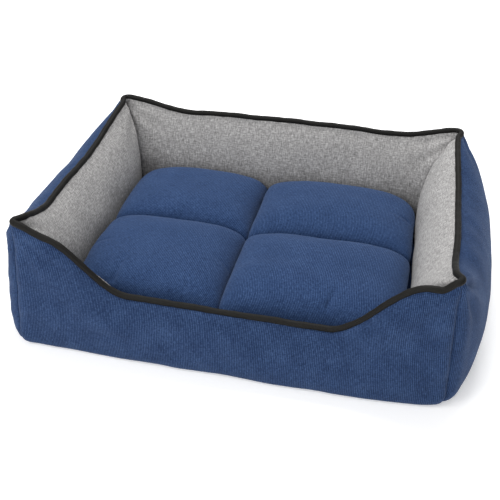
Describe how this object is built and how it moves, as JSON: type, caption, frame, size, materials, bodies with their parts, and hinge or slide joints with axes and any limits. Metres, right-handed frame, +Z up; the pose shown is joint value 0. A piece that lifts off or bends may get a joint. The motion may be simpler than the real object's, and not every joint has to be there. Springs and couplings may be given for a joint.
{
  "type": "pet cushion bed",
  "caption": "Rectangular pet bed with stuffed fabric walls, a dipped front, a piped rim with raised corners and a loose quilted cushion.",
  "frame": {"origin": "middle of the bed's footprint, on the floor", "axes": "+X along the long side, to the right as seen from the dipped front wall; -Y out through the dipped front wall; +Z up"},
  "size_m": [0.763, 0.5595, 0.222],
  "materials": {
    "blue_weave": "matte",
    "grey_lining": "matte",
    "floor_cloth": "matte",
    "piping_tape": "satin",
    "piping_cord": "matte",
    "wadding": "matte",
    "nonslip_cloth": "matte",
    "zip_tape": "matte",
    "zip_coil": "gloss",
    "zip_stop": "satin",
    "zip_metal": "satin"
  },
  "bodies": {
    "bed": {"front_outer_panel": "blue_weave", "right_outer_panel": "blue_weave", "back_outer_panel": "blue_weave", "left_outer_panel": "blue_weave", "front_lining": "grey_lining", "right_lining": "grey_lining", "back_lining": "grey_lining", "left_lining": "grey_lining", "front_fill": "wadding", "right_fill": "wadding", "back_fill": "wadding", "left_fill": "wadding", "rim_piping_tape": "piping_tape", "rim_piping_core": "piping_cord", "inner_floor_panel": "floor_cloth", "nonslip_base_panel": "nonslip_cloth"},
    "cushion": {"cushion_top_cover": "blue_weave", "cushion_bottom_cover": "blue_weave", "cushion_border": "blue_weave", "cushion_fill_front_left": "wadding", "cushion_fill_front_right": "wadding", "cushion_fill_back_left": "wadding", "cushion_fill_back_right": "wadding", "zip_tape_upper": "zip_tape", "zip_tape_lower": "zip_tape", "zip_coil_upper": "zip_coil", "zip_coil_lower": "zip_coil", "zip_end_stops": "zip_stop"},
    "zip_slider": {"zip_slider": "zip_metal"},
    "zip_puller": {"zip_puller": "zip_metal"}
  },
  "joints": [
    {"name": "cushion_lift", "type": "slide", "parent": "bed", "child": "cushion", "axis": [0, 0, 1], "range_m": [0, 0.25]},
    {"name": "zip_travel", "type": "slide", "parent": "cushion", "child": "zip_slider", "axis": [1, 0, 0], "range_m": [0, 0.378]},
    {"name": "puller_swing", "type": "hinge", "parent": "zip_slider", "child": "zip_puller", "pos_m": [-0.193, 0.18834, 0.044], "axis": [0, 0, 1], "range_deg": [0, 16]}
  ]
}
